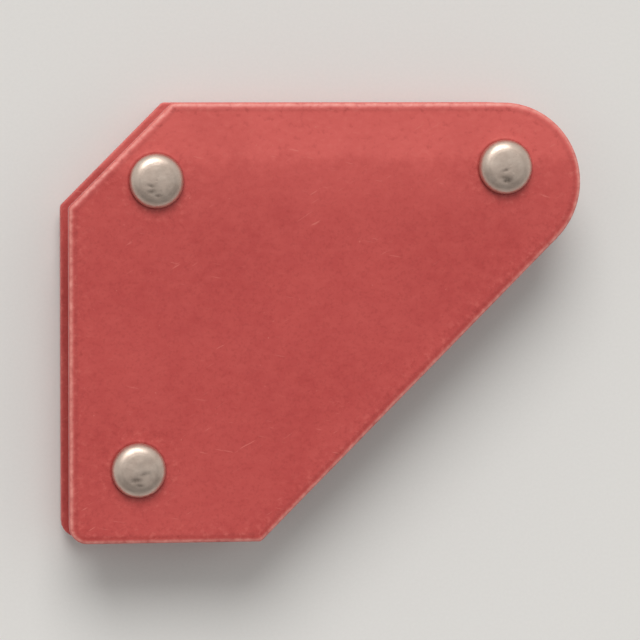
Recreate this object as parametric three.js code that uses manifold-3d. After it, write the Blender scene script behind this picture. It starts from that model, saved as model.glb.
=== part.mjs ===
// Small riveted welding magnet, in millimetres, +Z up, lying on its back.
//
// Two painted steel plates clamp a moulded core that carries three ferrite blocks.
// Three rivets, each in a steel sleeve, hold the sandwich together. The long straight
// edge is at +Y and the short one at -X, square to each other, and the 45 degree edge
// faces +X and -Y. The origin is under the centre of the bounding box, on the plane
// that the rivet tails rest on.

import * as THREE from "three";
import { mergeVertices } from "three/addons/utils/BufferGeometryUtils.js";
import Module from "manifold-3d";

const wasm = await Module();
wasm.setup();

// Plate outline, measured from the square foot corner.
const width = 65;
const height = 55;
const cornerCut = 13;
const noseRadius = 10;
const footRadius = 2.2;
const bluntRadius = 0.7;

// Stack, from the rivet tails up.
const gap = 0.3;
const tailHeight = 1.4;
const headHeight = 1.4;
const plateThickness = 1.5;
const stackThickness = 11;
const backPlateZ = tailHeight + gap;
const frontPlateZ = backPlateZ + stackThickness - plateThickness;
const coreZ = backPlateZ + plateThickness + gap;
const coreThickness = frontPlateZ - gap - coreZ;
const totalThickness = backPlateZ + stackThickness + gap + headHeight;

// Edges.
const plateBevel = 0.25;
const coreInset = 1.8;
const coreRadiusMin = 0.5;
const ferriteBevel = 0.5;

// Rivets and their sleeves.
const shankRadius = 2;
const shankClearance = 0.2;
const headRadius = 3.4;
const headRim = 0.3;
const headFullness = 2.6;
const tailRadius = 3.3;
const tailFlatRadius = 2;
const tailRim = 0.4;
const sleeveInner = shankRadius + shankClearance;
const sleeveOuter = 2.7;
const rivets = {
  corner: [10.9, 45.3],
  nose: [55.2, 46.9],
  foot: [8.6, 9.2],
};

// Ferrite blocks: one size, two along the long edge and one on the short edge.
const ferriteLength = 16;
const ferriteDepth = 15;
const ferriteSpacing = 17.4;
const topBlockX = 17;
const sideBlockY = 16;

// Facets.
const roundSegments = 24;
const domeSteps = 5;
const arcStep = 1.35;

const redPaint = new THREE.MeshStandardMaterial({ color: 0xb8504b, roughness: 0.5, metalness: 0.1 });
const nickel = new THREE.MeshStandardMaterial({ color: 0xb9ab98, roughness: 0.35, metalness: 0.9 });
const zincSteel = new THREE.MeshStandardMaterial({ color: 0x9d9b97, roughness: 0.45, metalness: 0.9 });
const blackPlastic = new THREE.MeshStandardMaterial({ color: 0x1b1b1d, roughness: 0.7, metalness: 0 });
const ferrite = new THREE.MeshStandardMaterial({ color: 0x3a3a3d, roughness: 0.55, metalness: 0.1 });

// The outline is a pentagon with rounded corners, counter-clockwise from the foot. The
// 45 degree edge and the long edge would meet in a point far past the nose, and the nose
// is that corner's rounding.
function plateCorners() {
  const pointX = width - noseRadius + noseRadius / Math.tan(Math.PI / 8);
  return [
    { at: new THREE.Vector2(0, 0), radius: footRadius },
    { at: new THREE.Vector2(pointX - height, 0), radius: bluntRadius },
    { at: new THREE.Vector2(pointX, height), radius: noseRadius },
    { at: new THREE.Vector2(cornerCut, height), radius: bluntRadius },
    { at: new THREE.Vector2(0, height - cornerCut), radius: bluntRadius },
  ];
}

// For each corner, its unit directions towards the corners before and after it.
function directions(corners, i) {
  const { at } = corners[i];
  const before = corners[(i + corners.length - 1) % corners.length].at;
  const after = corners[(i + 1) % corners.length].at;
  return [before.clone().sub(at).normalize(), after.clone().sub(at).normalize()];
}

// Moves every side inwards by the same distance.
function insetCorners(corners, distance) {
  return corners.map(({ at, radius }, i) => {
    const [back, ahead] = directions(corners, i);
    const half = back.angleTo(ahead) / 2;
    const inwards = back.clone().add(ahead).normalize();
    return {
      at: at.clone().addScaledVector(inwards, distance / Math.sin(half)),
      radius: Math.max(radius - distance, coreRadiusMin),
    };
  });
}

// The closed outline's points, with an arc at each corner that touches both its sides.
function roundedOutline(corners) {
  return corners.flatMap(({ at, radius }, i) => {
    const [back, ahead] = directions(corners, i);
    const half = back.angleTo(ahead) / 2;
    const inwards = back.clone().add(ahead).normalize();
    const centre = at.clone().addScaledVector(inwards, radius / Math.sin(half));
    const turn = Math.PI - 2 * half;
    const first = inwards.angle() + Math.PI - turn / 2;
    const steps = Math.max(2, Math.ceil((turn * radius) / arcStep));
    return Array.from({ length: steps + 1 }, (_, step) => {
      const angle = first + (turn * step) / steps;
      return new THREE.Vector2(Math.cos(angle), Math.sin(angle)).multiplyScalar(radius).add(centre);
    });
  });
}

// A flat piece with the given outline and a hole at each rivet, from z = 0 up.
function slab(corners, thickness, holeRadius, bevel) {
  const shape = new THREE.Shape(roundedOutline(corners));
  for (const [x, y] of Object.values(rivets)) {
    shape.holes.push(new THREE.Path().absarc(x, y, holeRadius, 0, 2 * Math.PI, true));
  }
  const geometry = new THREE.ExtrudeGeometry(shape, {
    depth: thickness - 2 * bevel,
    curveSegments: roundSegments / 2,
    bevelEnabled: bevel > 0,
    bevelThickness: bevel,
    bevelSize: bevel,
    bevelOffset: -bevel,
    bevelSegments: 1,
  });
  return geometry.translate(0, 0, bevel);
}

function toManifold(geometry) {
  const bare = geometry.clone();
  bare.deleteAttribute("normal");
  bare.deleteAttribute("uv");
  const merged = mergeVertices(bare, 1e-4);
  return new wasm.Manifold(
    new wasm.Mesh({
      numProp: 3,
      vertProperties: Float32Array.from(merged.attributes.position.array),
      triVerts: Uint32Array.from(merged.index.array),
    }),
  );
}

function toGeometry(manifold) {
  const mesh = manifold.getMesh();
  const geometry = new THREE.BufferGeometry();
  geometry.setAttribute("position", new THREE.BufferAttribute(mesh.vertProperties, mesh.numProp));
  geometry.setIndex(new THREE.BufferAttribute(mesh.triVerts, 1));
  geometry.computeVertexNormals();
  return geometry;
}

// Lower left corner and size of each ferrite block, all three flush with the core's edges.
function ferriteBlocks() {
  const topY = height - coreInset - ferriteDepth;
  return {
    magnet_top_inner: [topBlockX, topY, ferriteLength, ferriteDepth],
    magnet_top_outer: [topBlockX + ferriteSpacing, topY, ferriteLength, ferriteDepth],
    magnet_side: [coreInset, sideBlockY, ferriteDepth, ferriteLength],
  };
}

function ferriteGeometry(sizeX, sizeY) {
  const corners = [[0, 0], [sizeX, 0], [sizeX, sizeY], [0, sizeY]];
  const geometry = new THREE.ExtrudeGeometry(
    new THREE.Shape(corners.map(([x, y]) => new THREE.Vector2(x, y))),
    {
      depth: coreThickness - 2 * ferriteBevel,
      bevelThickness: ferriteBevel,
      bevelSize: ferriteBevel,
      bevelOffset: -ferriteBevel,
      bevelSegments: 1,
    },
  );
  return geometry.translate(0, 0, ferriteBevel);
}

// The core is a slab with a pocket for each ferrite block. The pockets open through the
// core's edge, so that the blocks face the work between the plates.
function coreGeometry() {
  let core = toManifold(slab(insetCorners(plateCorners(), coreInset), coreThickness, sleeveOuter + gap, 0));
  for (const [name, [x, y, sizeX, sizeY]] of Object.entries(ferriteBlocks())) {
    const openX = name === "magnet_side" ? coreInset : 0;
    const openY = name === "magnet_side" ? 0 : coreInset;
    const pocket = new THREE.BoxGeometry(
      sizeX + 2 * gap + openX,
      sizeY + 2 * gap + openY,
      coreThickness * 2,
    );
    pocket.translate(x + (sizeX - openX) / 2, y + (sizeY + openY) / 2, coreThickness / 2);
    core = core.subtract(toManifold(pocket));
  }
  return toGeometry(core);
}

// A piece turned about Z, from points of [radius, z].
function turned(profile) {
  const points = profile.map(([radius, z]) => new THREE.Vector2(radius, z));
  return new THREE.LatheGeometry(points, roundSegments).rotateX(Math.PI / 2);
}

function sleeveGeometry() {
  return turned([
    [sleeveInner, 0],
    [sleeveOuter, 0],
    [sleeveOuter, coreThickness],
    [sleeveInner, coreThickness],
    [sleeveInner, 0],
  ]);
}

// Tail with a flat crown at z = 0, shank, and a full, low-domed head on top.
function rivetGeometry() {
  const headZ = totalThickness - headHeight;
  const profile = [[0, 0]];
  for (let step = 0; step <= domeSteps; step += 1) {
    const angle = (Math.PI / 2) * (step / domeSteps);
    profile.push([
      tailFlatRadius + (tailRadius - tailFlatRadius) * Math.sin(angle),
      (tailHeight - tailRim) * (1 - Math.cos(angle)),
    ]);
  }
  profile.push([tailRadius, tailHeight]);
  profile.push([shankRadius, tailHeight]);
  profile.push([shankRadius, headZ]);
  profile.push([headRadius, headZ]);
  for (let step = 0; step < domeSteps; step += 1) {
    const angle = (Math.PI / 2) * (step / domeSteps);
    profile.push([
      headRadius * Math.cos(angle) ** (2 / headFullness),
      headZ + headRim + (headHeight - headRim) * Math.sin(angle) ** (2 / headFullness),
    ]);
  }
  profile.push([0, totalThickness]);
  return turned(profile);
}

function piece(name, geometry, material, x, y, z) {
  const mesh = new THREE.Mesh(geometry, material);
  mesh.name = name;
  mesh.position.set(x, y, z);
  return mesh;
}

// Everything is placed from the foot corner, then moved so that the box is centred.
const sandwich = new THREE.Group();
sandwich.position.set(-width / 2, -height / 2, 0);

const plate = slab(plateCorners(), plateThickness, sleeveInner, plateBevel);
sandwich.add(piece("back_plate", plate, redPaint, 0, 0, backPlateZ));
sandwich.add(piece("front_plate", plate, redPaint, 0, 0, frontPlateZ));
sandwich.add(piece("core_spacer", coreGeometry(), blackPlastic, 0, 0, coreZ));

for (const [name, [x, y, sizeX, sizeY]] of Object.entries(ferriteBlocks())) {
  sandwich.add(piece(name, ferriteGeometry(sizeX, sizeY), ferrite, x, y, coreZ));
}

for (const [place, [x, y]] of Object.entries(rivets)) {
  sandwich.add(piece(`sleeve_${place}`, sleeveGeometry(), zincSteel, x, y, coreZ));
  sandwich.add(piece(`rivet_${place}`, rivetGeometry(), nickel, x, y, 0));
}

const weldingMagnet = new THREE.Group();
weldingMagnet.add(sandwich);

export default weldingMagnet;
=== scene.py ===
"""Riveted welding magnet, lying on its back on a pale floor.

Mesh code works in millimetres in the part's own frame, and every mesh is scaled to metres when
it is made. The long straight edge is at +Y, the short one at -X, and the rivet heads face +Z.
"""

import math
import random

import bpy
import numpy as np
from mathutils import Matrix, Vector, noise
from mathutils.geometry import delaunay_2d_cdt


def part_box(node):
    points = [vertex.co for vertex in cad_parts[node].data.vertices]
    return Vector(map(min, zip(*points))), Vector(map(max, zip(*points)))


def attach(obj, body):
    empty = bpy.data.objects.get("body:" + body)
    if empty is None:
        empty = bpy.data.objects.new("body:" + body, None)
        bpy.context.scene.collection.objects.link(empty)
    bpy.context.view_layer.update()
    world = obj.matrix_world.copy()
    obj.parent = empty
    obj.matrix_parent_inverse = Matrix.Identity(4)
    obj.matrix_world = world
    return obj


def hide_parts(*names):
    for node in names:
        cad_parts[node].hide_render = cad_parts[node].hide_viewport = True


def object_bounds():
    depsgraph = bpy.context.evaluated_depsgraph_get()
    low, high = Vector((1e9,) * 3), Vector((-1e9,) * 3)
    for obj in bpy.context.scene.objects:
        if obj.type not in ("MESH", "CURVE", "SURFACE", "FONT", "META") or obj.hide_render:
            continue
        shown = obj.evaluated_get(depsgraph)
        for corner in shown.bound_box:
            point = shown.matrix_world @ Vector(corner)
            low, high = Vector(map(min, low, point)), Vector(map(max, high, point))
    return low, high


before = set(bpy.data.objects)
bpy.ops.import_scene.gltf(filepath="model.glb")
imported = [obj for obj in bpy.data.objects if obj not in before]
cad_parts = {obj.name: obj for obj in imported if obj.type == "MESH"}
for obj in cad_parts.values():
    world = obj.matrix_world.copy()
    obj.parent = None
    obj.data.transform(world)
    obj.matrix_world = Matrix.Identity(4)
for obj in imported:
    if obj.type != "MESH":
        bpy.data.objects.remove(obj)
cad_low, cad_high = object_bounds()

MM = 0.001

# Plate outline, as cut.
CORNER_CUT = 13.0
NOSE_RADIUS = 10.0
FOOT_RADIUS = 2.2
BLUNT_RADIUS = 0.7

# Corners inside an outline get no sharper than this.
SHARPEST = 0.12

# Plate edge. The punch leaves a soft roll at the outer face and a burr at the inner one. The
# roll's paint is worn thin and painted pale as a highlight line, most at an angle, counted from 0 at the
# face to 90 degrees at the side.
ROLL_WIDTH = 0.95
ROLL_DEPTH = 0.42
ROLL_STEPS = 9
PALE_LINE_AT = math.radians(52)
PALE_LINE_SPAN = math.radians(26)
BURR_ROUNDING = 0.16
BURR_WEAR = 0.35

# Plate face, by the inset from the edge: a loop of points that holds the edge's shape, the loop
# that the face starts from, a line of painted shade inside the edge roll, and slight wear from handling.
EDGE_SUPPORT = 1.1
FACE_FROM = 1.3
EDGE_SHADE = 0.6
EDGE_SHADE_AT = 0.85
EDGE_SHADE_SPAN = 0.22
HANDLED_WEAR = 0.3
HANDLED_REACH = 2.6

# Painted sheen: the paint made paler along the long edge, by the distance from that edge.
SHEEN_FULL = 6.5
SHEEN_FROM = 8.5
SHEEN_OUT = 16.5
SHEEN_RAGGED = 1.4

# Plate mesh and its waves.
OUTLINE_STEP = 0.6
FACE_STEP = 0.8
INNER_FACE_STEP = FACE_STEP * 3
WAVE_HEIGHT = 0.025
WAVE_LENGTH = 17.0

# Plate face around a rivet, by the distance from the edge of the rivet's head.
DISH_DEPTH = 0.07
DISH_WIDTH = 2.6
LIP_HEIGHT = 0.03
LIP_AT = 0.22
LIP_WIDTH = 0.12
# Painted shade in the crevice round a rivet's head reaches this far out.
CREVICE_SHADE_REACH = 0.3
RING_GAPS = (-1.0, -0.4, -0.1, 0.05, 0.14, 0.22, 0.32, 0.5)
RING_SIDES = 72

# Rivets. A foot is the (inset, height) points where a head or tail meets its plate.
RIVET_SIDES = 96
SHANK_RADIUS = 2.15
BORE_CLEARANCE = 0.15
SEAT_OVERLAP = 0.02
SHOULDER_STEPS = 8
# Painted shade at the foot of a head or tail reaches up this high.
FOOT_SHADE_HEIGHT = 0.25

# Rivet head: a foot, a short wall, a round shoulder and a low crown.
HEAD_RADIUS = 3.4
HEAD_FOOT = ((0.5, 0.0), (0.22, 0.05), (0.06, 0.16))
HEAD_WALL_SHARE = 0.3
SHOULDER_WIDTH = 1.15
SHOULDER_TURN = math.radians(74)
CROWN_RISE = 0.1
CROWN_RINGS = 24
CROWN_MARGIN = 0.03

# Marks on a crown, with painted shade in its edge groove and painted dark reflections in its dents. A
# band of painted shade lies across the crown's -Y side.
CROWN_SWELL = 0.018
CROWN_GROOVE = 0.035
GROOVE_WIDTH = 0.13
GROOVE_SHADE = 5
DENT_DARK_REFLECTION = 26
NICKS = 9
NICK_REACH = 2.0
CROWN_SHADE = 0.22
CROWN_SHADE_AT = -1.3
CROWN_SHADE_SPAN = 0.8
DARKEST_SHADE = 0.85

# Rivet tail: a foot, a full rim, and a flat with a cup in it. The flat's rings and the cup's
# brim are shares of the flat's radius.
TAIL_RADIUS = 3.3
TAIL_FOOT = ((0.3, 0.0), (0.06, 0.25), (0.0, 0.5))
TAIL_WOBBLE = 0.16
TAIL_FLAT = 2.2
TAIL_RINGS = (0.9, 0.82, 0.76, 0.68, 0.5, 0.3, 0.12)
TAIL_CUP = 0.35
CUP_BRIM = 0.86
CUP_SLOPE = 0.2

# Sleeves, each rolled from a strip.
SLEEVE_OUTER = 2.7
SLEEVE_INNER = 2.2
SLEEVE_SEAM = 0.16
SLEEVE_ROUNDING = 0.08
SLEEVE_SIDES = 72

# Sleeves and ferrite blocks end this short of the plates.
END_GAP = 0.02

# Core. Its walls draw in from a parting ridge at half height. A ring or a ridge point is placed
# by its height above the ridge's middle.
CORE_ROUNDING = 0.3
CORE_DRAFT = 0.03
CORE_WALL_RINGS = (0.4, 0.2, 0.13)
CORE_FACE_STEP = 3.0
PARTING_RIDGE = 0.06
RIDGE_PROFILE = ((PARTING_RIDGE * 0.8, 0.09), (0.0, 0.05))
POCKET_FIT = 0.12
POCKET_ROUNDING = 0.35
SLEEVE_BORE = 2.8
SLEEVE_BORE_SIDES = 32

# Ferrite blocks, and the chips broken from their edges.
BLOCK_ROUNDING = 0.2
BLOCK_STEP = 0.2
BLOCK_CHIPS = 14
CHIP_RADIUS = (0.5, 1.3)
CHIP_DEPTH = (0.16, 0.42)
CHIP_LEAN = (0.3, 1.0)
CHIP_ROUGHNESS = 0.1
CHIP_WEAR_DEPTH = 0.08

# Stage, in metres. The floor is solid out to one radius and gone at the other.
FLOOR_SOLID = 0.5
FLOOR_REACH = 2.4
KEY_STRENGTH = 1.72
KEY_SPREAD = math.radians(36)
KEY_COLOUR = (1.0, 0.975, 0.945)
KEY_HEADING = (0.14, -0.85, -0.9)

# Camera, in metres. It looks straight down, but for a tilt towards each straight edge.
CAMERA_DISTANCE = 0.6
SEEN_WIDTH = 0.081
FROM_SHORT_EDGE = math.radians(9.5)
FROM_LONG_EDGE = math.radians(3.0)


def box_mm(node):
    low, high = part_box(node)
    return low / MM, high / MM


def centre_mm(node):
    low, high = box_mm(node)
    return (low + high) / 2


def between_plates():
    """Heights of the back plate's and the front plate's inner faces."""
    return box_mm("back_plate")[1].z, box_mm("front_plate")[0].z


RIVETS = {place: centre_mm(f"rivet_{place}") for place in ("corner", "nose", "foot")}


# ---------------------------------------------------------------- outlines


def heading(angle):
    return Vector((math.cos(angle), math.sin(angle)))


def on_circle(centre, radius, angle):
    return Vector((centre.x + radius * math.cos(angle), centre.y + radius * math.sin(angle)))


def circle(centre, radius, sides):
    """Points of a circle, counter-clockwise."""
    return [on_circle(centre, radius, 2 * math.pi * k / sides) for k in range(sides)]


def on_arc(arc, share):
    centre, radius, first, turn = arc
    return centre + heading(first + turn * share) * radius


def quarter(steps):
    """Angles from 0 to 90 degrees."""
    return [math.pi / 2 * k / steps for k in range(steps + 1)]


def rounding(radius, steps=3):
    """(inset, drop) pairs of a quarter round, from the face to the side."""
    return [(radius * (1 - math.sin(a)), radius * (1 - math.cos(a))) for a in quarter(steps)]


def bell(distance, width):
    """1 at no distance, falling off smoothly over about the width."""
    return math.exp(-((distance / width) ** 2))


class Outline:
    """Closed outline of straight sides and round corners, counter-clockwise, in millimetres.

    Every loop of an outline has the same number of points, so loops at any inset can be joined.
    """

    def __init__(self, corners, step):
        self.points = [Vector(at) for at, _ in corners]
        self.radii = [radius for _, radius in corners]
        arcs = self.arcs(0.0)
        self.arc_steps = []
        self.side_steps = []
        for i, arc in enumerate(arcs):
            _, radius, _, turn = arc
            self.arc_steps.append(max(3, math.ceil(abs(turn) * abs(radius) / step)))
            side = on_arc(arcs[(i + 1) % len(arcs)], 0.0) - on_arc(arc, 1.0)
            self.side_steps.append(max(1, round(side.length / step)))

    def arcs(self, inset):
        """(centre, radius, first angle, turn) of each corner. A hollow corner's radius is below 0."""
        arcs = []
        for i, radius in enumerate(self.radii):
            before = (self.points[i] - self.points[i - 1]).normalized()
            after = (self.points[(i + 1) % len(self.points)] - self.points[i]).normalized()
            turn = math.atan2(before.cross(after), before.dot(after))
            out = Vector((before.y, -before.x))
            first = math.atan2(out.y, out.x)
            signed = math.copysign(radius, turn) - inset
            if turn > 0:
                signed = max(signed, SHARPEST)
            middle = heading(first + turn / 2)
            centre = self.points[i] - middle * (signed + inset) / math.cos(turn / 2)
            arcs.append((centre, signed, first, turn))
        return arcs

    def loop(self, inset=0.0):
        """Points of the outline moved inwards by inset."""
        points = []
        arcs = self.arcs(inset)
        for i, arc in enumerate(arcs):
            steps = self.arc_steps[i]
            points += [on_arc(arc, k / steps) for k in range(steps + 1)]
            start, end = points[-1], on_arc(arcs[(i + 1) % len(arcs)], 0.0)
            count = self.side_steps[i]
            points += [start.lerp(end, k / count) for k in range(1, count)]
        return points


# ---------------------------------------------------------------- meshes

# For mathutils' triangulation: keep the triangles inside the outer loop, and join points that
# are closer than this.
INSIDE_ONLY = 1
SAME_POINT = 1e-5

# How near the grid of a filled area comes to the area's edges, as a share of its spacing.
GRID_CLEARANCE = 0.7


def as_array(points):
    return np.array([tuple(p) for p in points])


def inside(points, loop):
    """Which of the points lie inside the closed loop."""
    x, y = points[:, :1], points[:, 1:]
    a = as_array(loop)
    b = np.roll(a, -1, axis=0)
    crosses = (a[:, 1] > y) != (b[:, 1] > y)
    run = np.where(crosses, b[:, 1] - a[:, 1], 1.0)
    at = a[:, 0] + (y - a[:, 1]) * (b[:, 0] - a[:, 0]) / run
    return (crosses & (x < at)).sum(axis=1) % 2 == 1


def clear_of(points, loop, distance):
    """Which of the points are further than distance from the loop's own points."""
    gaps = np.linalg.norm(points[:, None, :] - as_array(loop)[None, :, :], axis=2)
    return gaps.min(axis=1) > distance


def grid(outer, holes, spacing):
    """Points of a triangular grid inside the outer loop, outside the holes and clear of them all."""
    edge = as_array(outer)
    low, high = edge.min(axis=0), edge.max(axis=0)
    rows = []
    for row, y in enumerate(np.arange(low[1], high[1], spacing * math.sqrt(3) / 2)):
        for x in np.arange(low[0] + spacing / 2 * (row % 2), high[0], spacing):
            rows.append((x, y))
    points = np.array(rows)
    keep = inside(points, outer)
    for hole in holes:
        keep &= ~inside(points, hole)
    points = points[keep]
    for loop in (outer, *holes):
        points = points[clear_of(points, loop, spacing * GRID_CLEARANCE)]
    return points


def value_at(value, p):
    return value(p) if callable(value) else value


class Skin:
    """A mesh in the making: points in millimetres, faces, and two shares per point.

    Wear is 1 where an edge is rubbed thin or freshly broken; on a plate's edge roll it is also a painted
    highlight line. The other share is painted shade, 1 where shade or a dark reflection is painted in.
    A ring is a list of point numbers, counter-clockwise as seen from +Z.
    """

    def __init__(self):
        self.points = []
        self.faces = []
        self.shares = {"wear": [], "painted_shade": []}

    def point(self, x, y, z, wear=0.0, painted_shade=0.0):
        self.points.append((x, y, z))
        self.shares["wear"].append(wear)
        self.shares["painted_shade"].append(painted_shade)
        return len(self.points) - 1

    def ring(self, flat, z, wear=0.0, painted_shade=0.0):
        """Adds the flat points. Height, wear and dirt are numbers or functions of the point."""
        return [self.point(p.x, p.y, value_at(z, p), value_at(wear, p), value_at(painted_shade, p)) for p in flat]

    def plan(self, ring):
        return [Vector(self.points[i][:2]) for i in ring]

    def wall(self, rings, flipped=False):
        """Joins each ring to the next. Rising rings make a wall that faces outwards.

        Flipped turns it to face the other way, so falling rings need it to face outwards.
        """
        for a, b in zip(rings, rings[1:]):
            lower, upper = (b, a) if flipped else (a, b)
            for i in range(len(lower)):
                j = (i + 1) % len(lower)
                self.faces.append((lower[i], lower[j], upper[j], upper[i]))

    def fan(self, ring, z, up):
        """Closes a ring with one point at its centre."""
        centre = sum((Vector(self.points[i]) for i in ring), Vector()) / len(ring)
        tip = self.point(centre.x, centre.y, z)
        for i in range(len(ring)):
            j = (i + 1) % len(ring)
            self.faces.append((ring[i], ring[j], tip) if up else (ring[j], ring[i], tip))

    def fold(self, ring, up):
        """Covers a long, narrow ring by joining its first half to its second half."""
        last = len(ring) - 1
        for i in range(last // 2):
            face = (ring[i], ring[i + 1], ring[last - i - 1], ring[last - i])
            self.faces.append(face if up else face[::-1])

    def fill(self, outer, holes, spacing, z, up, wear=0.0):
        """Covers the area between rings with triangles, through a grid of points of its own."""
        rings = [outer, *holes]
        loops = [self.plan(ring) for ring in rings]
        edges = []
        for ring in rings:
            first = len(edges)
            edges += [(first + i, first + (i + 1) % len(ring)) for i in range(len(ring))]
        flat = [p for loop in loops for p in loop]
        flat += [Vector((x, y)) for x, y in grid(loops[0], loops[1:], spacing)]
        found, _, faces, source, _, _ = delaunay_2d_cdt(flat, edges, [], INSIDE_ONLY, SAME_POINT)

        known = [i for ring in rings for i in ring]
        number = []
        for p, sources in zip(found, source):
            on_ring = [known[k] for k in sources if k < len(known)]
            number.append(on_ring[0] if on_ring else self.point(p.x, p.y, z(p), value_at(wear, p)))
        middles = as_array(sum((found[i] for i in f), Vector((0, 0))) / len(f) for f in faces)
        keep = np.ones(len(faces), bool)
        for hole in loops[1:]:
            keep &= ~inside(middles, hole)
        for face, kept in zip(faces, keep):
            if kept:
                corners = [number[i] for i in face]
                self.faces.append(tuple(corners if up else reversed(corners)))

    def build(self, node, material, sharp_over=180):
        """Makes the piece, in metres, riding on the body and standing for its CAD node."""
        name = f"{node}_skin"
        mesh = bpy.data.meshes.new(name)
        mesh.from_pydata([Vector(p) * MM for p in self.points], [], self.faces)
        mesh.validate()
        for share, values in self.shares.items():
            mesh.attributes.new(share, "FLOAT", "POINT").data.foreach_set("value", values)
        mesh.shade_smooth()
        mesh.set_sharp_from_angle(angle=math.radians(sharp_over))
        mesh.materials.append(material)
        piece = put(name, mesh)
        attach(piece, "root")
        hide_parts(node)


def put(name, data):
    """A new object in the scene."""
    thing = bpy.data.objects.new(name, data)
    bpy.context.scene.collection.objects.link(thing)
    return thing


# ---------------------------------------------------------------- shader nodes


def feed(tree, socket, value):
    """Links the value to the socket, or sets it there if it is a number or a colour."""
    if isinstance(value, bpy.types.NodeSocket):
        tree.links.new(value, socket)
    else:
        socket.default_value = value


def add(tree, kind, inputs=None, **settings):
    """A node of that kind. Inputs are sockets to link or values to set."""
    node = tree.nodes.new(kind)
    for name, value in settings.items():
        setattr(node, name, value)
    for key, value in (inputs or {}).items():
        feed(tree, node.inputs[key], value)
    return node


def new_material(name):
    """(material, node tree, its Principled shader, object coordinates)."""
    material = bpy.data.materials.new(name)
    material.use_nodes = True
    tree = material.node_tree
    shader = next(n for n in tree.nodes if n.type == "BSDF_PRINCIPLED")
    place = add(tree, "ShaderNodeTexCoord").outputs["Object"]
    return material, tree, shader, place


def set_finish(tree, shader, colour, roughness, normal, metallic=0.0):
    """Gives the shader what varies over the surface, and metallic, which doesn't."""
    tree.links.new(colour, shader.inputs["Base Color"])
    tree.links.new(roughness, shader.inputs["Roughness"])
    tree.links.new(normal, shader.inputs["Normal"])
    shader.inputs["Metallic"].default_value = metallic


def srgb(red, green, blue):
    """A linear colour from display values of 0 to 255."""
    def linear(v):
        v /= 255
        return v / 12.92 if v <= 0.04045 else ((v + 0.055) / 1.055) ** 2.4
    return (linear(red), linear(green), linear(blue), 1.0)


def attribute(tree, name):
    """One of a skin's two shares."""
    return add(tree, "ShaderNodeAttribute", attribute_name=name).outputs["Fac"]


def calc(tree, operation, a, b):
    return add(tree, "ShaderNodeMath", {0: a, 1: b}, operation=operation).outputs[0]


def spread(tree, value, low, high, to_low=0.0, to_high=1.0):
    """The value taken from low..high to to_low..to_high, and held at the ends."""
    inputs = {"Value": value, "From Min": low, "From Max": high, "To Min": to_low, "To Max": to_high}
    return add(tree, "ShaderNodeMapRange", inputs, clamp=True).outputs["Result"]


def grain(tree, place, size, detail=2.0, roughness=0.5):
    """Noise whose features are about size millimetres across, 0 to 1."""
    inputs = {"Vector": place, "Scale": 1.0 / (size * MM), "Detail": detail, "Roughness": roughness}
    return add(tree, "ShaderNodeTexNoise", inputs).outputs["Fac"]


def drift(tree, place, size, detail, roughness=0.5, low=0.0, high=1.0):
    """Grain stretched so that it goes all the way from low to high."""
    return spread(tree, grain(tree, place, size, detail, roughness), 0.3, 0.7, low, high)


def hairlines(tree, place, angle, shift, length=5.0, width=0.5, rarity=0.72):
    """Fine scratches, 0 to 1, along an angle in degrees. The shift makes each set its own.

    Length and width stretch a grain of half a millimetre.
    """
    apart = (shift, shift * 0.7, 0.0)
    shifted = add(tree, "ShaderNodeVectorMath", {0: place, 1: apart}, operation="ADD").outputs[0]
    inputs = {
        "Vector": shifted,
        "Rotation": (0.0, 0.0, math.radians(angle)),
        "Scale": (length, width, 1.0),
    }
    drawn = add(tree, "ShaderNodeMapping", inputs, vector_type="TEXTURE").outputs["Vector"]
    return spread(tree, grain(tree, drawn, 0.5, 1.0), rarity, rarity + 0.07)


def blend(tree, share, a, b):
    """Colour a turned into colour b by share."""
    node = add(tree, "ShaderNodeMix", data_type="RGBA")
    sockets = {socket.identifier: socket for socket in node.inputs}
    feed(tree, sockets["Factor_Float"], share)
    feed(tree, sockets["A_Color"], a)
    feed(tree, sockets["B_Color"], b)
    return next(socket for socket in node.outputs if socket.identifier == "Result_Color")


def tinted(tree, colour, where, strength, tint):
    """The colour turned towards the tint, by where times strength."""
    return blend(tree, calc(tree, "MULTIPLY", where, strength), colour, tint)


def relief(tree, height, depth, normal=None):
    """Bump that stands up by about depth millimetres, on top of the given normal."""
    inputs = {"Height": height, "Distance": depth * MM, "Strength": 1.0}
    if normal is not None:
        inputs["Normal"] = normal
    return add(tree, "ShaderNodeBump", inputs).outputs["Normal"]


# ---------------------------------------------------------------- materials


def sound_paint(tree, place):
    """Colour of the paint where nothing has touched it: slow clouds, a fine mottle, dark specks."""
    cloud = spread(tree, grain(tree, place, 15, 2), 0.35, 0.65)
    colour = blend(tree, cloud, srgb(186, 67, 65), srgb(194, 75, 72))
    mottle = spread(tree, grain(tree, place, 1.5, 3, 0.6), 0.35, 0.65)
    colour = tinted(tree, colour, mottle, 0.45, srgb(202, 84, 79))
    speck = spread(tree, grain(tree, place, 0.4, 2, 0.6), 0.5, 0.7)
    return tinted(tree, colour, speck, 0.3, srgb(160, 51, 48))


def painted_sheen_band(tree, place):
    """Painted sheen: paler paint, strong near the long edge, faint further in, and patchy."""
    ragged = drift(tree, place, 3.5, 4, 0.6, -SHEEN_RAGGED * MM, SHEEN_RAGGED * MM)
    across = add(tree, "ShaderNodeSeparateXYZ", {0: place}).outputs["Y"]
    to_edge = calc(tree, "SUBTRACT", cad_high.y, calc(tree, "ADD", across, ragged))
    faint = spread(tree, to_edge, SHEEN_OUT * MM, SHEEN_FROM * MM, 0.0, 0.35)
    strong = spread(tree, to_edge, SHEEN_FROM * MM, SHEEN_FULL * MM, 0.0, 0.65)
    patches = spread(tree, grain(tree, place, 7, 4, 0.6), 0.3, 0.65, 0.65, 0.95)
    return calc(tree, "MULTIPLY", calc(tree, "ADD", faint, strong), patches)


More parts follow.
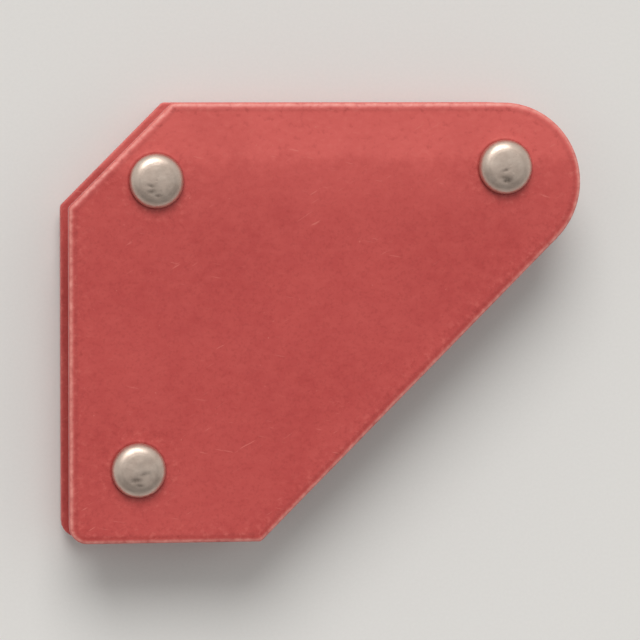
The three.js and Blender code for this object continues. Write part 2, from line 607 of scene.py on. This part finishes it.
def scuffs(tree, place):
    """Clusters of fine scratches that lie two ways."""
    level = hairlines(tree, place, -12, 0.0)
    steep = hairlines(tree, place, 31, 0.4)
    clusters = spread(tree, grain(tree, place, 8, 2), 0.48, 0.6)
    return calc(tree, "MULTIPLY", calc(tree, "MAXIMUM", level, steep), clusters)


def red_paint():
    """Semi-matt powder coat: orange peel, nibs and scuffs, and a painted sheen along the long edge.

    Lumps show where the plate is knocked, and in the painted sheen band as part of that sheen. The edge
    is worn to a thin coat, with a pale highlight line painted on it.
    """
    material, tree, shader, place = new_material("red_powder_coat")
    sheen = painted_sheen_band(tree, place)
    # The pale colour here is a painted sheen along the long edge, standing in for light on it.
    colour = blend(tree, sheen, sound_paint(tree, place), srgb(218, 97, 92))

    knocked_and_sheen = spread(tree, attribute(tree, "wear"), 0.03, HANDLED_WEAR)
    # Pale and dark lumps also show in the painted sheen band, as part of that painted sheen.
    knocked_and_sheen = calc(tree, "MAXIMUM", knocked_and_sheen, calc(tree, "MULTIPLY", sheen, 0.7))
    lumps = grain(tree, place, 0.9, 3, 0.6)
    pale_lump = spread(tree, lumps, 0.54, 0.68, 0.0, 0.45)
    colour = tinted(tree, colour, pale_lump, knocked_and_sheen, srgb(222, 110, 102))
    dark_lump = spread(tree, lumps, 0.44, 0.3, 0.0, 0.4)
    colour = tinted(tree, colour, dark_lump, knocked_and_sheen, srgb(156, 48, 46))

    scuff = scuffs(tree, place)
    colour = tinted(tree, colour, scuff, 0.5, srgb(228, 126, 116))
    nib = spread(tree, grain(tree, place, 0.55, 1, 0.4), 0.76, 0.84)
    colour = tinted(tree, colour, nib, 0.5, srgb(222, 122, 112))

    # A pale line on the edge roll: a thin coat of paint, and a painted highlight.
    worn_edge_highlight = spread(tree, attribute(tree, "wear"), HANDLED_WEAR, 1.0)
    patchy = drift(tree, place, 0.9, 3, 0.6, 0.3, 0.95)
    colour = tinted(tree, colour, worn_edge_highlight, patchy, srgb(234, 156, 146))
    # Painted shade: round each rivet's head, and in a line inside the edge roll.
    colour = tinted(tree, colour, attribute(tree, "painted_shade"), 0.3, srgb(112, 36, 34))

    polish = drift(tree, place, 5, 3, low=0.36, high=0.46)
    dulled = calc(tree, "ADD", polish, calc(tree, "MULTIPLY", scuff, 0.15))
    peel = relief(tree, grain(tree, place, 0.95, 0.0), 0.035)
    lumpy = relief(tree, calc(tree, "MULTIPLY", lumps, knocked_and_sheen), 0.06, peel)
    fine = relief(tree, grain(tree, place, 0.35, 2), 0.01, lumpy)
    set_finish(tree, shader, colour, dulled, fine)
    return material


def rivet_nickel():
    """Satin nickel plate: warm grey, tumbled, finely scratched and pitted, with painted shade and
    painted dark reflections at its foot and on its crown.
    """
    material, tree, shader, place = new_material("satin_nickel")
    cloud = drift(tree, place, 1.6, 3, 0.6)
    colour = blend(tree, cloud, srgb(200, 182, 170), srgb(218, 202, 190))
    pit = spread(tree, grain(tree, place, 0.22, 2, 0.5), 0.68, 0.76)
    colour = tinted(tree, colour, pit, 0.4, srgb(120, 108, 100))
    # Painted shade and painted dark reflections, in patches, where the painted-shade share is high.
    shade_patches = spread(tree, grain(tree, place, 0.5, 3, 0.7), 0.3, 0.6, 0.55, 1.0)
    shade_amount = calc(tree, "MULTIPLY", attribute(tree, "painted_shade"), shade_patches)
    colour = blend(tree, shade_amount, colour, srgb(84, 74, 68))

    polish = drift(tree, place, 0.7, 3, 0.6, 0.38, 0.5)
    dulled = calc(tree, "ADD", polish, calc(tree, "MULTIPLY", shade_amount, 0.2))
    height = grain(tree, place, 0.5, 2, 0.5)
    for angle, shift in ((20, 0.1), (75, 0.3), (-40, 0.5)):
        lines = hairlines(tree, place, angle, shift, length=2.4, width=0.14, rarity=0.66)
        height = calc(tree, "SUBTRACT", height, calc(tree, "MULTIPLY", lines, 0.1))
    height = calc(tree, "SUBTRACT", height, calc(tree, "MULTIPLY", pit, 0.6))
    set_finish(tree, shader, colour, dulled, relief(tree, height, 0.008), metallic=1.0)
    return material


def zinc_steel():
    """Rolled, zinc-plated strip of the spacer sleeves."""
    material, tree, shader, place = new_material("zinc_strip")
    cloud = drift(tree, place, 0.9, 3)
    colour = blend(tree, cloud, srgb(168, 170, 172), srgb(200, 201, 200))
    polish = drift(tree, place, 0.6, 2, low=0.32, high=0.5)
    texture = relief(tree, grain(tree, place, 0.3, 2), 0.005)
    set_finish(tree, shader, colour, polish, texture, metallic=1.0)
    return material


def black_plastic():
    """Moulded black plastic: an even, spark-eroded texture with a little grey dust."""
    material, tree, shader, place = new_material("moulded_black")
    cloud = drift(tree, place, 2.5, 3)
    colour = blend(tree, cloud, srgb(24, 24, 26), srgb(30, 30, 32))
    dust = spread(tree, grain(tree, place, 0.45, 3, 0.7), 0.66, 0.8)
    colour = tinted(tree, colour, dust, 0.3, srgb(118, 112, 106))
    polish = drift(tree, place, 1.2, 2, low=0.46, high=0.58)
    texture = relief(tree, grain(tree, place, 0.25, 2), 0.012)
    set_finish(tree, shader, colour, polish, texture)
    return material


def ferrite():
    """Sintered ferrite: charcoal, granular, with paler fresh breaks along chipped edges."""
    material, tree, shader, place = new_material("sintered_ferrite")
    cloud = drift(tree, place, 2, 4, 0.6)
    colour = blend(tree, cloud, srgb(66, 66, 70), srgb(80, 79, 82))
    sparkle = spread(tree, grain(tree, place, 0.12, 1), 0.68, 0.74)
    colour = tinted(tree, colour, sparkle, 0.5, srgb(130, 130, 134))
    colour = tinted(tree, colour, attribute(tree, "wear"), 0.6, srgb(112, 111, 114))
    polish = drift(tree, place, 0.8, 3, low=0.42, high=0.62)
    texture = relief(tree, grain(tree, place, 0.25, 3, 0.6), 0.015)
    set_finish(tree, shader, colour, polish, texture, metallic=0.15)
    return material


def floor_paint():
    """Pale matt floor that fades out far from the object, so that no horizon shows."""
    material, tree, shader, place = new_material("pale_floor")
    tone = drift(tree, place, 0.4, 2)
    colour = blend(tree, tone, srgb(229, 229, 228), srgb(231, 231, 230))
    tree.links.new(colour, shader.inputs["Base Color"])
    shader.inputs["Roughness"].default_value = 0.9
    shader.inputs["Specular IOR Level"].default_value = 0.2
    reach = add(tree, "ShaderNodeVectorMath", {0: place}, operation="LENGTH").outputs["Value"]
    fade = spread(tree, reach, FLOOR_SOLID, FLOOR_REACH, 1.0, 0.0)
    tree.links.new(fade, shader.inputs["Alpha"])
    return material


# ---------------------------------------------------------------- plates


def plate_corners(low, high):
    """The pentagon of the plates, from the square foot corner round. The nose rounds a far point."""
    width, height = high.x - low.x, high.y - low.y
    point = width - NOSE_RADIUS + NOSE_RADIUS / math.tan(math.pi / 8)
    corners = [
        ((0.0, 0.0), FOOT_RADIUS),
        ((point - height, 0.0), BLUNT_RADIUS),
        ((point, height), NOSE_RADIUS),
        ((CORNER_CUT, height), BLUNT_RADIUS),
        ((0.0, height - CORNER_CUT), BLUNT_RADIUS),
    ]
    return [((low.x + x, low.y + y), radius) for (x, y), radius in corners]


def head_gaps(p):
    """How far a point of a plate's face is from the edge of each rivet's head, or 0 under the head."""
    away = [math.hypot(p.x - centre.x, p.y - centre.y) for centre in RIVETS.values()]
    return [max(0.0, distance - HEAD_RADIUS) for distance in away]


def face_relief(seed):
    """Height of a plate's face above its nominal plane: slightly wavy, and pulled in by the rivets.

    The seed picks a place in the noise, so that no two plates are wavy alike.
    """
    offset = Vector((seed * 7.3, seed * 3.1, seed * 1.7))

    def height(p):
        wave = noise.noise(Vector((p.x, p.y, 0.0)) / WAVE_LENGTH + offset)
        total = (wave - 1) * WAVE_HEIGHT
        for gap in head_gaps(p):
            total -= DISH_DEPTH * bell(gap, DISH_WIDTH)
            total += LIP_HEIGHT * bell(gap - LIP_AT, LIP_WIDTH)
        return total

    return height


def handling(loop):
    """Wear of a plate's face at a point: slight, and most near the outline and the rivets."""
    edge = as_array(loop)

    def wear(p):
        to_edge = np.hypot(edge[:, 0] - p.x, edge[:, 1] - p.y).min()
        return HANDLED_WEAR * bell(min(to_edge, *head_gaps(p)), HANDLED_REACH)

    return wear


def make_plate(node, material, outer_up, seed):
    """A punched plate. Its outer face has the soft punched-in edge and the inner one the burr side."""
    low, high = box_mm(node)
    outline = Outline(plate_corners(low, high), OUTLINE_STEP)
    skin = Skin()
    bend = face_relief(seed)
    handled = handling(outline.loop())
    flip = 1.0 if outer_up else -1.0
    outer_z, inner_z = (high.z, low.z) if outer_up else (low.z, high.z)

    def outer(drop):
        return lambda p: outer_z + flip * (bend(p) - drop)

    def inner(drop):
        return lambda p: inner_z + flip * drop

    # Painted shade in the crevice round a rivet's head, by the gap to the head.
    def crevice_shade(gap):
        return min(1.0, max(0.0, 1 - gap / CREVICE_SHADE_REACH))

    # Round the edge, from the outer face to the inner one.
    stack = [(FACE_FROM, outer(0.0), handled), (EDGE_SUPPORT, outer(0.0), handled)]
    for angle in quarter(ROLL_STEPS):
        inset = ROLL_WIDTH * (1 - math.sin(angle))
        drop = ROLL_DEPTH * (1 - math.cos(angle))
        # The roll's wear peaks in a pale line: partly a thin coat, partly a painted highlight.
        stack.append((inset, outer(drop), max(HANDLED_WEAR, bell(angle - PALE_LINE_AT, PALE_LINE_SPAN))))
    for inset, drop in reversed(rounding(BURR_ROUNDING)):
        stack.append((inset, inner(drop), BURR_WEAR))
    stack.append((EDGE_SUPPORT, inner(0.0), 0.0))
    rings = []
    for inset, z, wear in stack:
        # A line of painted shade just inside the edge roll.
        shade_amount = EDGE_SHADE * bell(inset - EDGE_SHADE_AT, EDGE_SHADE_SPAN)
        rings.append(skin.ring(outline.loop(inset), z, wear, shade_amount))
    skin.wall(rings, flipped=outer_up)

    # Out of each bore and across the dish round the rivet's head.
    outer_holes, inner_holes = [], []
    for centre in RIVETS.values():
        bore = circle(centre, SHANK_RADIUS + BORE_CLEARANCE, RING_SIDES)
        # The ring at the bore, under the head, is in full painted shade.
        around = [skin.ring(bore, inner(0.0)), skin.ring(bore, outer(0.0), painted_shade=1.0)]
        for gap in RING_GAPS:
            loop = circle(centre, HEAD_RADIUS + gap, RING_SIDES)
            around.append(skin.ring(loop, outer(0.0), handled, crevice_shade(gap)))
        skin.wall(around, flipped=outer_up)
        inner_holes.append(around[0])
        outer_holes.append(around[-1])

    skin.fill(rings[0], outer_holes, FACE_STEP, outer(0.0), up=outer_up, wear=handled)
    skin.fill(rings[-1], inner_holes, INNER_FACE_STEP, inner(0.0), up=not outer_up)
    skin.build(node, material)


# ---------------------------------------------------------------- rivets


def head_profile(radius, height):
    """(radius, height) points of a low head, from its foot on the plate to near its middle."""
    wall = height * HEAD_WALL_SHARE
    points = [(radius - inset, up) for inset, up in HEAD_FOOT]
    points.append((radius, wall))
    rise = (height - CROWN_RISE - wall) / math.sin(SHOULDER_TURN)
    reach = SHOULDER_WIDTH / (1 - math.cos(SHOULDER_TURN))
    for k in range(1, SHOULDER_STEPS + 1):
        angle = SHOULDER_TURN * k / SHOULDER_STEPS
        points.append((radius - reach * (1 - math.cos(angle)), wall + rise * math.sin(angle)))
    for k in range(1, CROWN_RINGS):
        inwards = k / CROWN_RINGS
        dome = CROWN_RISE * (1 - (1 - inwards) ** 2)
        points.append(((radius - SHOULDER_WIDTH) * (1 - inwards), height - CROWN_RISE + dome))
    return points


def tail_profile(radius, height):
    """The same for a formed tail."""
    points = [(radius - inset, up) for inset, up in TAIL_FOOT]
    wall = points[-1][1]
    rise, reach = height - wall, radius - TAIL_FLAT
    for k in range(1, SHOULDER_STEPS + 1):
        angle = math.pi / 2 * k / SHOULDER_STEPS
        points.append((TAIL_FLAT + reach * math.cos(angle), wall + rise * math.sin(angle)))
    for outwards in TAIL_RINGS:
        cup = min(1.0, max(0.0, (CUP_BRIM - outwards) / CUP_SLOPE))
        points.append((TAIL_FLAT * outwards, height - TAIL_CUP * cup ** 2 * (3 - 2 * cup)))
    return points


class Dent:
    """A long, shallow dent in a crown, in millimetres from the rivet's axis."""

    def __init__(self, x, y, length, width, depth, angle=0.0):
        self.x, self.y = x, y
        self.length, self.width = length, width
        self.depth = depth
        self.along = heading(angle)

    def at(self, x, y):
        """Depth of the dent at a place."""
        away = Vector((x - self.x, y - self.y))
        along = away.dot(self.along) / self.length
        across = away.cross(self.along) / self.width
        return self.depth * math.exp(-(along ** 2) - across ** 2)


def crown_nicks(rng):
    """Specks knocked into a crown, anywhere on it."""
    nicks = []
    for _ in range(NICKS):
        x = rng.uniform(-NICK_REACH, NICK_REACH)
        y = rng.uniform(-NICK_REACH, NICK_REACH)
        nicks.append(Dent(x, y, length=0.1, width=0.08, depth=0.012))
    return nicks


def crown_dents(rng):
    """Tool flats and knocks: two broad dents across a crown's -Y half, and a short one at its edge."""
    dents = []
    for band in ((-0.9, -0.3), (-1.5, -1.1)):
        x, y = rng.uniform(-0.9, 0.9), rng.uniform(*band)
        length, width = rng.uniform(0.5, 0.85), rng.uniform(0.2, 0.32)
        dents.append(Dent(x, y, length, width, depth=0.025, angle=rng.uniform(-0.35, 0.35)))
    x, angle = rng.uniform(-0.3, 0.3), rng.uniform(-0.15, 0.15)
    dents.append(Dent(x, y=-1.85, length=0.5, width=0.2, depth=0.03, angle=angle))
    return dents


def crown_marks(centre, seed):
    """(height, painted shade) of a crown at a point: a slight swell, nicks, dents, and a groove at its
    edge.
    """
    rng = random.Random(seed)
    offset = Vector((rng.random(), rng.random(), rng.random())) * 50
    nicks = crown_nicks(rng)
    dents = crown_dents(rng)

    def change(p):
        x, y = p.x - centre.x, p.y - centre.y
        swell = CROWN_SWELL * noise.noise(Vector((x, y, 0.0)) * 0.8 + offset)
        uneven = 0.65 + 0.5 * noise.noise(Vector((x, y, 0.0)) * 0.5 + offset)
        from_edge = math.hypot(x, y) - (HEAD_RADIUS - SHOULDER_WIDTH)
        groove = CROWN_GROOVE * uneven * bell(from_edge, GROOVE_WIDTH)
        dent = sum(mark.at(x, y) for mark in dents)
        nick = sum(mark.at(x, y) for mark in nicks)
        # Painted shade across the -Y side and in the groove, and painted dark reflections in the dents.
        lower_shade = CROWN_SHADE * uneven * bell(y - CROWN_SHADE_AT, CROWN_SHADE_SPAN)
        painted_shade = lower_shade + DENT_DARK_REFLECTION * dent + GROOVE_SHADE * groove
        return swell - groove - dent - nick, min(DARKEST_SHADE, painted_shade)

    return change


def foot_shade(height):
    """Painted shade of a head or tail near its plate, by the height above that plate."""
    return max(0.0, 1 - height / FOOT_SHADE_HEIGHT)


def tail_loop(centre, radius, lobes):
    """A slightly lopsided circle, as a tail spreads when it is formed. Lobes says where it bulges."""
    loop = circle(centre, radius, RIVET_SIDES)
    for p in loop:
        outwards = Vector((p.x - centre.x, p.y - centre.y)).normalized()
        swell = noise.noise(Vector((outwards.x * 1.3, outwards.y * 1.3, lobes)))
        p += outwards * (swell - 0.5) * TAIL_WOBBLE * radius / TAIL_RADIUS
    return loop


def make_rivet(place, material, seed):
    """Tail, shank and head, turned about the rivet's own axis."""
    node = f"rivet_{place}"
    low, high = box_mm(node)
    centre = RIVETS[place]
    seat = WAVE_HEIGHT + DISH_DEPTH + SEAT_OVERLAP
    front_z = box_mm("front_plate")[1].z - seat
    back_z = box_mm("back_plate")[0].z + seat
    crown = crown_marks(centre, seed)
    lobes = random.Random(seed).uniform(0, 10)

    skin = Skin()
    rings = []
    for radius, drop in reversed(tail_profile(TAIL_RADIUS, back_z - low.z)):
        loop = tail_loop(centre, radius, lobes)
        # Painted shade at the tail's foot.
        rings.append(skin.ring(loop, back_z - drop, painted_shade=foot_shade(drop)))
    for z in (back_z, front_z):
        rings.append(skin.ring(circle(centre, SHANK_RADIUS, RIVET_SIDES), z))
    full = high.z - front_z - CROWN_MARGIN
    for radius, rise in head_profile(HEAD_RADIUS, full):
        weight = (rise / full) ** 3
        ring = []
        for p in circle(centre, radius, RIVET_SIDES):
            # Painted shade at the head's foot and across its crown.
            change, painted_shade = crown(p)
            z = front_z + rise + change * weight
            ring.append(skin.point(p.x, p.y, z, painted_shade=max(foot_shade(rise), painted_shade * weight)))
        rings.append(ring)
    skin.wall(rings)
    skin.fan(rings[0], low.z + TAIL_CUP, up=False)
    skin.fan(rings[-1], skin.points[rings[-1][0]][2], up=True)
    skin.build(node, material)


# ---------------------------------------------------------------- sleeves


def strip_loop(centre, inset):
    """Plan of a strip rolled into a ring with a narrow seam, moved inwards by inset."""
    loop = []
    for radius, way in ((SLEEVE_OUTER - inset, 1), (SLEEVE_INNER + inset, -1)):
        seam = math.asin((SLEEVE_SEAM / 2 + inset) / radius)
        turn = 2 * math.pi - 2 * seam
        angles = [seam + turn * k / SLEEVE_SIDES for k in range(SLEEVE_SIDES + 1)]
        loop += [on_circle(centre, radius, angle) for angle in angles[::way]]
    return loop


def make_sleeve(place, material):
    """The spacer round a rivet's shank, from plate to plate."""
    back_z, front_z = between_plates()
    top, bottom = front_z - END_GAP, back_z + END_GAP
    rim = rounding(SLEEVE_ROUNDING)
    stack = [(inset, top - drop) for inset, drop in rim]
    stack += [(inset, bottom + drop) for inset, drop in reversed(rim)]
    skin = Skin()
    rings = [skin.ring(strip_loop(RIVETS[place], inset), z) for inset, z in stack]
    skin.wall(rings, flipped=True)
    skin.fold(rings[0], up=True)
    skin.fold(rings[-1], up=False)
    skin.build(f"sleeve_{place}", material, sharp_over=50)


# ---------------------------------------------------------------- core


def pocket_corners(*points):
    return [(Vector(at), POCKET_ROUNDING) for at in points]


def core_corners(core_low):
    """The plates' pentagon moved in, with an open pocket for each ferrite block."""
    plate_low, plate_high = box_mm("front_plate")
    inset = core_low.x - plate_low.x
    whole = Outline(plate_corners(plate_low, plate_high), OUTLINE_STEP)
    moved = []
    for centre, radius, first, turn in whole.arcs(inset):
        middle = heading(first + turn / 2)
        moved.append((centre + middle * radius / math.cos(turn / 2), max(radius, POCKET_ROUNDING)))
    foot, toe, point, cut_top, cut_side = moved

    corners = [foot, toe, point]
    edge = point[0].y
    for node in ("magnet_top_outer", "magnet_top_inner"):
        low, high = box_mm(node)
        left, right, floor = low.x - POCKET_FIT, high.x + POCKET_FIT, low.y - POCKET_FIT
        corners += pocket_corners((right, edge), (right, floor), (left, floor), (left, edge))
    corners += [cut_top, cut_side]
    edge = foot[0].x
    low, high = box_mm("magnet_side")
    near, far, floor = low.y - POCKET_FIT, high.y + POCKET_FIT, high.x + POCKET_FIT
    corners += pocket_corners((edge, far), (floor, far), (floor, near), (edge, near))
    return corners


def make_core(material):
    """Moulded core: walls that draw in slightly from a fine parting ridge at half height."""
    node = "core_spacer"
    back_z, front_z = between_plates()
    middle = (front_z + back_z) / 2
    half = (front_z - back_z) / 2
    outline = Outline(core_corners(box_mm(node)[0]), OUTLINE_STEP)

    # The upper half, from the front plate down to the ridge, and then its mirror image.
    wall_end = PARTING_RIDGE + CORE_DRAFT
    stack = [(wall_end + inset, half - drop) for inset, drop in rounding(CORE_ROUNDING, steps=4)]
    for rise in (half * 0.6, *CORE_WALL_RINGS):
        stack.append((PARTING_RIDGE + CORE_DRAFT * rise / half, rise))
    stack += RIDGE_PROFILE
    stack += [(inset, -rise) for inset, rise in reversed(stack)]

    skin = Skin()
    rings = [skin.ring(outline.loop(inset), middle + rise) for inset, rise in stack]
    skin.wall(rings, flipped=True)
    tops, bottoms = [], []
    for centre in RIVETS.values():
        rim = circle(centre, SLEEVE_BORE, SLEEVE_BORE_SIDES)
        tops.append(skin.ring(rim, front_z))
        bottoms.append(skin.ring(rim, back_z))
        skin.wall([tops[-1], bottoms[-1]])
    skin.fill(rings[0], tops, CORE_FACE_STEP, lambda p: front_z, up=True)
    skin.fill(rings[-1], bottoms, CORE_FACE_STEP, lambda p: back_z, up=False)
    skin.build(node, material)


# ---------------------------------------------------------------- ferrite blocks


def edge_chips(low, high, rng):
    """(centre, radius) of the balls whose surfaces the chips along a box's edges follow."""
    chips = []
    for _ in range(BLOCK_CHIPS):
        along = rng.choice((0, 1, 2, 2))
        at, out = Vector(), Vector()
        for axis in range(3):
            if axis == along:
                at[axis] = rng.uniform(low[axis], high[axis])
            else:
                side = rng.choice((-1, 1))
                at[axis] = high[axis] if side > 0 else low[axis]
                out[axis] = side * rng.uniform(*CHIP_LEAN)
        radius = rng.uniform(*CHIP_RADIUS)
        depth = rng.uniform(*CHIP_DEPTH)
        chips.append((at + out.normalized() * (radius - depth), radius))
    return chips


def chipped(at, chips, offset):
    """(place, wear) of a block's point once the chips are broken out. Offset makes them rough."""
    wear = 0.0
    for centre, radius in chips:
        rough = radius * (1 + CHIP_ROUGHNESS * noise.noise(at * 1.7 + offset))
        away = at - centre
        if away.length < rough:
            wear = min(1.0, wear + (rough - away.length) / CHIP_WEAR_DEPTH)
            at = centre + away.normalized() * rough
    return at, wear


def make_block(node, material, seed):
    """A pressed and ground ferrite block with chips broken out of its edges."""
    low, high = box_mm(node)
    back_z, front_z = between_plates()
    low.z, high.z = back_z + END_GAP, front_z - END_GAP
    plan = ((low.x, low.y), (high.x, low.y), (high.x, high.y), (low.x, high.y))
    outline = Outline([(at, BLOCK_ROUNDING) for at in plan], BLOCK_STEP)
    rim = rounding(BLOCK_ROUNDING)
    tall = high.z - low.z - 2 * BLOCK_ROUNDING
    count = round(tall / BLOCK_STEP)
    stack = [(inset, high.z - drop) for inset, drop in rim]
    stack += [(0.0, high.z - BLOCK_ROUNDING - tall * k / count) for k in range(1, count)]
    stack += [(inset, low.z + drop) for inset, drop in reversed(rim)]

    chips = edge_chips(low, high, random.Random(seed))
    offset = Vector((seed * 9.1, 4.4, seed * 2.7))
    skin = Skin()
    rings = []
    for inset, z in stack:
        ring = []
        for p in outline.loop(inset):
            at, wear = chipped(Vector((p.x, p.y, z)), chips, offset)
            ring.append(skin.point(*at, wear=wear))
        rings.append(ring)
    skin.wall(rings, flipped=True)
    skin.fan(rings[0], high.z, up=True)
    skin.fan(rings[-1], low.z, up=False)
    skin.build(node, material, sharp_over=35)


# ---------------------------------------------------------------- stage


def make_floor():
    """A square that reaches just past where its paint has faded out."""
    half = FLOOR_REACH * 1.05
    mesh = bpy.data.meshes.new("floor")
    corners = [(-half, -half, 0), (half, -half, 0), (half, half, 0), (-half, half, 0)]
    mesh.from_pydata(corners, [], [(0, 1, 2, 3)])
    mesh.materials.append(floor_paint())
    put("floor", mesh)


def make_sun():
    """A broad soft key from beyond the long edge."""
    data = bpy.data.lights.new("key", "SUN")
    data.energy = KEY_STRENGTH
    data.angle = KEY_SPREAD
    data.color = KEY_COLOUR
    light = put("key", data)
    light.rotation_mode = "QUATERNION"
    light.rotation_quaternion = Vector(KEY_HEADING).to_track_quat("-Z", "Y")


def make_world():
    """A plain studio: pale all round, greyer overhead, and darker towards -Y above the horizon."""
    world = bpy.data.worlds.new("studio")
    world.use_nodes = True
    tree = world.node_tree
    way = add(tree, "ShaderNodeTexCoord").outputs["Generated"]
    parts = add(tree, "ShaderNodeSeparateXYZ", {0: way}).outputs
    overhead = spread(tree, parts["Z"], 0.2, 0.95)
    colour = blend(tree, overhead, srgb(222, 220, 216), srgb(200, 198, 195))
    behind = spread(tree, parts["Y"], 0.0, -0.35)
    risen = spread(tree, parts["Z"], 0.15, 0.5)
    colour = tinted(tree, colour, behind, risen, srgb(130, 128, 126))
    tree.links.new(colour, tree.nodes["Background"].inputs["Color"])
    bpy.context.scene.world = world


def make_camera():
    """Looks down on the plates, a little from the short edge and less from the long one."""
    data = bpy.data.cameras.new("camera")
    data.sensor_width = 36.0
    data.lens = data.sensor_width * CAMERA_DISTANCE / SEEN_WIDTH
    data.clip_start, data.clip_end = 0.01, 20.0
    camera = put("camera", data)
    away = Vector((-math.tan(FROM_SHORT_EDGE), math.tan(FROM_LONG_EDGE), 1.0)).normalized()
    across = Vector((0.0, 1.0, 0.0)).cross(away).normalized()
    camera.location = (cad_low + cad_high) / 2 + away * CAMERA_DISTANCE
    camera.rotation_mode = "QUATERNION"
    camera.rotation_quaternion = Matrix((across, away.cross(across), away)).transposed().to_quaternion()
    bpy.context.scene.camera = camera


# ---------------------------------------------------------------- the scene

red = red_paint()
make_plate("front_plate", red, outer_up=True, seed=1)
make_plate("back_plate", red, outer_up=False, seed=2)

nickel = rivet_nickel()
for seed, place in enumerate(RIVETS, start=11):
    make_rivet(place, nickel, seed)

zinc = zinc_steel()
for place in RIVETS:
    make_sleeve(place, zinc)

make_core(black_plastic())

block_material = ferrite()
for seed, node in enumerate(("magnet_top_inner", "magnet_top_outer", "magnet_side")):
    make_block(node, block_material, seed)

make_floor()
make_sun()
make_world()
make_camera()
bpy.context.scene.view_settings.view_transform = "Standard"
